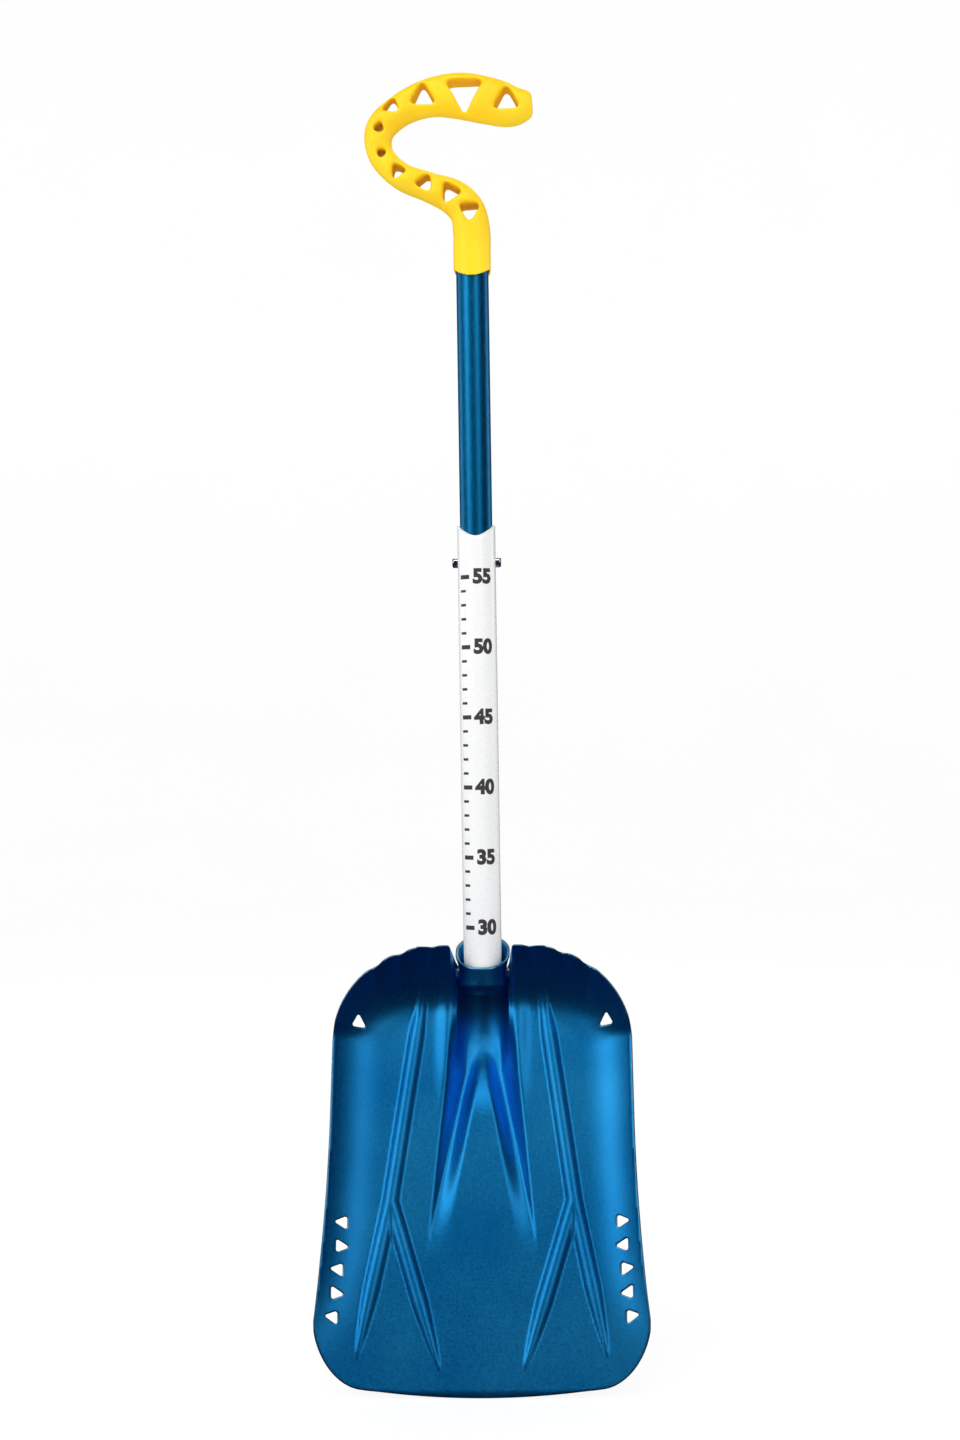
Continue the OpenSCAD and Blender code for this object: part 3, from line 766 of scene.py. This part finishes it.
# The handle's centre line, above the sleeve's lower edge: x, z and half thickness
HANDLE = np.array([
    (0, -10, SLEEVE_HALF), (0, 12, SLEEVE_HALF), (0, 28, SLEEVE_HALF), (-3, 43, 12.9),
    (-13, 53.5, 12.3), (-30, 61, 10.2), (-50, 69.5, 9.3), (-64.5, 85, 9.3), (-65, 103, 10.3),
    (-50, 117, 10.8), (-29, 125.3, 13.2), (-8, 126.3, 16), (12, 122.5, 16.4), (30, 118, 14.4),
    (45, 119, 8.6),
])
# Windows: x, z, side length and the angle of one corner
WINDOWS = [
    (26.5, 119.5, 20, 90), (-3.5, 127, 27, 270), (-33.5, 124, 19, 90), (-56, 117.5, 13.5, 80),
    (-65, 102, 9.5, 72), (-63.5, 84, 9, 265), (-52, 71, 12.5, 0), (-33, 62, 14, 64),
    (-14.5, 54.7, 16, 0), (-1, 41.5, 16, 270),
]
WINDOW_R = 1.6
GRIP_HALF_D = 15.5
TONGUE_DROP = 6.5


def handle_at(u):
    """The handle's centre line at place u: a smooth curve through its points."""
    last = len(HANDLE) - 1
    i = np.minimum(np.floor(u).astype(int), last - 1)
    t = (u - i)[:, None]
    padded = np.concatenate([[2 * HANDLE[0] - HANDLE[1]], HANDLE, [2 * HANDLE[-1] - HANDLE[-2]]])
    a, b, c, d = (padded[i + k] for k in range(4))
    square, cube = 2 * a - 5 * b + 4 * c - d, 3 * b - a - 3 * c + d
    return 0.5 * (2 * b + (c - a) * t + square * t ** 2 + cube * t ** 3)


def handle_mesh(steps, sides):
    """Points and faces of the handle's solid form."""
    last = len(HANDLE) - 1
    u = np.linspace(0, last, last * steps + 1)
    centre, e = handle_at(u), 0.02
    way = handle_at(np.minimum(u + e, last)) - handle_at(np.maximum(u - e, 0))
    along = way[:, :2] / np.linalg.norm(way[:, :2], axis=1, keepdims=True)
    across = np.stack([along[:, 1], -along[:, 0]], -1)
    deep = mix(SLEEVE_BACK, GRIP_HALF_D, smooth((u - 1) / 4)) * (1 - 0.2 * smooth(u - last + 1))
    power = 2 / mix(2.6, 2.2, smooth((u - 1) / 4))
    angle = 2 * math.pi * np.arange(sides) / sides
    c = np.sign(np.cos(angle)) * np.abs(np.cos(angle)) ** power[:, None]
    d = np.sign(np.sin(angle)) * np.abs(np.sin(angle)) ** power[:, None]
    reach = c * centre[:, 2:3]
    points = np.stack([centre[:, 0:1] + across[:, 0:1] * reach, SHAFT_Y + deep[:, None] * d,
                       GRIP_Z + centre[:, 1:2] + across[:, 1:2] * reach], -1)
    rows = len(u)
    faces = []
    for k in range(rows - 1):
        for j in range(sides):
            here, there, turn_on = k * sides + j, (k + 1) * sides + j, (j + 1) % sides - j
            faces.append([here, there, there + turn_on, here + turn_on])
    faces.append(list(range(sides)))
    faces.append([(rows - 1) * sides + j for j in reversed(range(sides))])
    return points.reshape(-1, 3), faces


def soften(piece, weights, passes, strength=0.5):
    """Evens out the surface, by weights from 0 to 1 at each vertex."""
    mesh = piece.data
    count = len(mesh.vertices)
    co = np.empty(count * 3)
    mesh.vertices.foreach_get("co", co)
    co = co.reshape(-1, 3)
    edges = np.empty(len(mesh.edges) * 2, np.int64)
    mesh.edges.foreach_get("vertices", edges)
    a, b = edges.reshape(-1, 2).T
    degree = np.bincount(np.concatenate([a, b]), minlength=count)[:, None]
    for _ in range(passes):
        total = np.stack([np.bincount(a, co[b, k], count) + np.bincount(b, co[a, k], count)
                          for k in range(3)], -1)
        co += (total / degree - co) * strength * weights[:, None]
    mesh.vertices.foreach_set("co", co.ravel())
    mesh.update()


def make_grip():
    """The handle with its windows, its bore and the tongue cut of its sleeve, then softened."""
    points, faces = handle_mesh(10, 72)
    grip = mesh_piece("grip_handle", points, faces, YELLOW, "upper_shaft")
    outlines = []
    for wx, wz, side, turn in WINDOWS:
        corners = rounded_triangle((wx, wz), side, WINDOW_R, math.radians(turn))
        outlines.append([(x, GRIP_Z + z) for x, z in corners])
    cutter = loose_mesh("windows", *prisms(outlines, SHAFT_Y - 60, SHAFT_Y + 60))
    cut_with(grip, cutter)
    turns = np.arange(64) / 64 + 1 / 128
    bore, _ = oval(UPPER_W + 2 * GRIP_GAP, FLAT, turns)
    count = len(bore)
    walls = [[j, (j + 1) % count, count + (j + 1) % count, count + j] for j in range(count)]
    points = [(x, SHAFT_Y + y, GRIP_Z - 20) for x, y in bore] + \
             [(x, SHAFT_Y + y, GRIP_Z + GRIP_DEPTH + 2 * GRIP_GAP) for x, y in bore]
    caps = [list(range(count))[::-1], list(range(count, 2 * count))]
    cut_with(grip, loose_mesh("bore", points, walls + caps))
    cut_r = (SLEEVE_BACK ** 2 + TONGUE_DROP ** 2) / (2 * TONGUE_DROP)
    cut_with(grip, cylinder_across(cut_r, GRIP_Z - cut_r, sides=256))
    voxels = grip.modifiers.new("voxels", "REMESH")
    voxels.mode = "VOXEL"
    voxels.voxel_size = 0.75 * MM
    apply_modifiers(grip)
    count = len(grip.data.vertices)
    co = np.empty(count * 3)
    grip.data.vertices.foreach_get("co", co)
    co = co.reshape(-1, 3) / MM
    flat = co[:, [0, 2]]
    near_window = np.full(count, 1e9)
    for outline in outlines:
        near_window = np.minimum(near_window, loop_distance(flat, np.array(outline)))
    depth = np.abs(co[:, 1] - SHAFT_Y)
    # The windows' rims at the front and back, and the handle's far end, are softened the most
    rims = smooth((5.5 - near_window) / 2.5) * smooth((depth - 5) / 3)
    far_end = smooth((co[:, 0] - 38) / 4)
    soften(grip, np.ones(count), 3)
    soften(grip, np.maximum(rims, far_end), 60)
    grip.data.shade_smooth()
    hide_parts("grip")


# ---- depth scale printed on the lower tube ----

SCALE_FROM, SCALE_TO = 300, 550
# The ink stands this far proud of the tube, and reaches this far into it
INK_T, INK_SINK = 0.06, 0.02
NUMBER_X, NUMBER_SIZE, NUMBER_BOLD = 4.6, 14, 0.75
STRIP_W = 0.8


def wrap_on_tube(piece):
    """Lays a flat print on the front of the lower tube: x runs round the crown, z stays."""
    crown_r = LOWER_W / 2
    for v in piece.data.vertices:
        angle = v.co.x / MM / crown_r
        r = crown_r + v.co.y / MM
        v.co.y = (SHAFT_Y - FLAT / 2 - r * math.cos(angle)) * MM
        v.co.x = r * math.sin(angle) * MM


def slice_upright(mesh, gap):
    """Cuts a flat print into narrow upright strips, so that it can follow the tube's curve."""
    cuts = bmesh.new()
    cuts.from_mesh(mesh)
    for x in np.arange(-LOWER_W / 2, LOWER_W / 2, gap):
        bmesh.ops.bisect_plane(cuts, geom=cuts.verts[:] + cuts.edges[:] + cuts.faces[:],
                               plane_co=(x * MM, 0, 0), plane_no=(1, 0, 0))
    cuts.to_mesh(mesh)
    cuts.free()


def scale_bars():
    """Ticks every centimetre, each as (centre x, centre z, width, height)."""
    for z in range(SCALE_FROM, SCALE_TO + 1, 10):
        long = z % 50 == 0
        yield (-9.0 if long else -10.5, z, 8 if long else 5, 3.0 if long else 1.8)


def make_scale():
    """Ticks and plain numbers: the height above the blade's tip in centimetres."""
    points, faces = [], []
    for x, z, width, height in scale_bars():
        cols = max(2, round(width))
        start = len(points)
        xs = np.linspace(x - width / 2, x + width / 2, cols + 1)
        for y in (INK_T, -INK_SINK):
            points += [(px, y, z - height / 2) for px in xs] + [(px, y, z + height / 2) for px in xs]
        top, back = cols + 1, 2 * (cols + 1)
        for k in range(cols):
            a = start + k
            faces += [[a, a + 1, a + top + 1, a + top],
                      [a + back + top, a + back + top + 1, a + back + 1, a + back],
                      [a + back, a + back + 1, a + 1, a],
                      [a + top, a + top + 1, a + back + top + 1, a + back + top]]
        for k in (0, cols):
            side = [start + k, start + k + top, start + k + back + top, start + k + back]
            faces.append(side if k == 0 else side[::-1])
    ticks = mesh_piece("depth_scale_ticks", points, faces, INK, "lower_shaft")
    ticks.data.shade_flat()
    wrap_on_tube(ticks)
    for number in range(SCALE_FROM // 10, SCALE_TO // 10 + 1, 5):
        words = bpy.data.curves.new(f"depth_{number}", "FONT")
        words.body = str(number)
        words.size = NUMBER_SIZE * MM
        words.offset = NUMBER_BOLD * MM
        words.extrude = 0.04 * MM
        words.resolution_u = 6
        words.align_x, words.align_y = "CENTER", "CENTER"
        text = bpy.data.objects.new(f"depth_{number}", words)
        bpy.context.scene.collection.objects.link(text)
        mesh = bpy.data.meshes.new_from_object(text.evaluated_get(bpy.context.evaluated_depsgraph_get()))
        bpy.data.objects.remove(text)
        piece = bpy.data.objects.new(f"depth_scale_{number}", mesh)
        bpy.context.scene.collection.objects.link(piece)
        place = Matrix.Translation((NUMBER_X * MM, 0, number * 10 * MM))
        mesh.transform(place @ Matrix.Rotation(math.pi / 2, 4, "X"))
        for v in mesh.vertices:
            v.co.y = (INK_T if v.co.y < 0 else -INK_SINK) * MM
        slice_upright(mesh, STRIP_W)
        wrap_on_tube(piece)
        mesh.materials.clear()
        mesh.materials.append(INK)
        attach(piece, "lower_shaft")


make_blade()
make_collar()
make_grip()
make_scale()


# ---- stage, light and camera ----

def stage_material(glow):
    s = Shader("pale_stage", Roughness=0.9, Emission_Strength=glow, Emission_Color=(1, 1, 1, 1))
    s.drive("Base Color", s.blend(s.noise(3, 2), (0.19, 0.19, 0.19, 1), (0.21, 0.21, 0.21, 1)))
    return s.material


def make_stage():
    """A pale floor that runs up into a round wall, far enough out for a camera on any side."""
    wall_r, wall_h, bend = 5.0, 6.0, 1.5
    section = [(0.0, 0.0), (0.6, 0.0), (1.5, 0.0), (2.5, 0.0)]
    section += [(wall_r - bend + bend * math.sin(a), bend - bend * math.cos(a))
                for a in np.linspace(0, math.pi / 2, 9)]
    section += [(wall_r, wall_h)]
    around = 72
    angles = [2 * math.pi * j / around for j in range(around)]
    points = [(0, 0, 0)] + [(r * math.cos(a), r * math.sin(a), z) for r, z in section[1:] for a in angles]
    faces = [[0, 1 + j, 1 + (j + 1) % around] for j in range(around)]
    for k in range(len(section) - 2):
        for j in range(around):
            a, b = 1 + k * around + j, 1 + k * around + (j + 1) % around
            faces.append([a, a + around, b + around, b])
    mesh = bpy.data.meshes.new("stage")
    mesh.from_pydata(points, [], faces)
    mesh.shade_smooth()
    floor = bpy.data.objects.new("stage", mesh)
    bpy.context.scene.collection.objects.link(floor)
    mesh.materials.append(stage_material(0.83))
    floor.location.z = cad_box[0].z - 0.001
    floor.visible_glossy = False


# The camera looks at this point, and the lights are placed round it
AIM = Vector((0.0006, SHAFT_Y * MM, 0.448))
LIT_Z = 0.45
# Azimuth in degrees, then height, distance, width and length in metres, and power in watts
LIGHTS = {
    "key_left": (-46, 1.85, 2.0, 0.9, 2.6, 18),
    "fill_right": (30, 1.85, 2.2, 0.7, 2.6, 11),
    "top_front": (-6, 2.9, 1.0, 1.4, 0.8, 10),
    "rim_left": (-108, 0.95, 2.2, 0.8, 0.8, 3),
    "rim_right": (118, 0.95, 2.2, 0.8, 0.8, 3),
    "back_high": (172, 2.5, 2.0, 1.4, 1.2, 9),
}


def softbox(name, azimuth, height, distance, width, tall, power):
    """A soft light that faces the object. Azimuth 0 is the camera's side, and 90 is to the right."""
    data = bpy.data.lights.new(name, "AREA")
    data.shape = "RECTANGLE"
    data.size, data.size_y = width, tall
    data.energy = power
    lamp = bpy.data.objects.new(name, data)
    bpy.context.scene.collection.objects.link(lamp)
    a = math.radians(azimuth)
    lamp.location = AIM + Vector((math.sin(a) * distance, -math.cos(a) * distance, height - AIM.z))
    facing = Vector((AIM.x, AIM.y, LIT_Z)) - lamp.location
    lamp.rotation_euler = facing.to_track_quat("-Z", "Y").to_euler()
    lamp.visible_camera = False


def make_lights():
    for name, values in LIGHTS.items():
        softbox(name, *values)
    world = bpy.data.worlds.new("studio")
    world.use_nodes = True
    world.node_tree.nodes["Background"].inputs["Color"].default_value = (0.10, 0.16, 0.30, 1)
    world.node_tree.nodes["Background"].inputs["Strength"].default_value = 0.12
    bpy.context.scene.world = world
    bpy.context.scene.view_settings.view_transform = "Standard"


def make_camera():
    """The photograph's view: level, a little to the right, and rolled a little."""
    distance, azimuth, roll = 1.5, math.radians(2.3), math.radians(0.875)
    data = bpy.data.cameras.new("camera")
    data.lens = 52.1
    data.sensor_width = 36
    data.clip_start, data.clip_end = 0.05, 50
    camera = bpy.data.objects.new("camera", data)
    bpy.context.scene.collection.objects.link(camera)
    back = Vector((math.sin(azimuth), -math.cos(azimuth), 0))
    look = (-back).to_track_quat("-Z", "Y").to_matrix().to_4x4()
    camera.matrix_world = Matrix.Translation(AIM + back * distance) @ look @ Matrix.Rotation(-roll, 4, "Z")
    bpy.context.scene.camera = camera


make_stage()
make_lights()
make_camera()
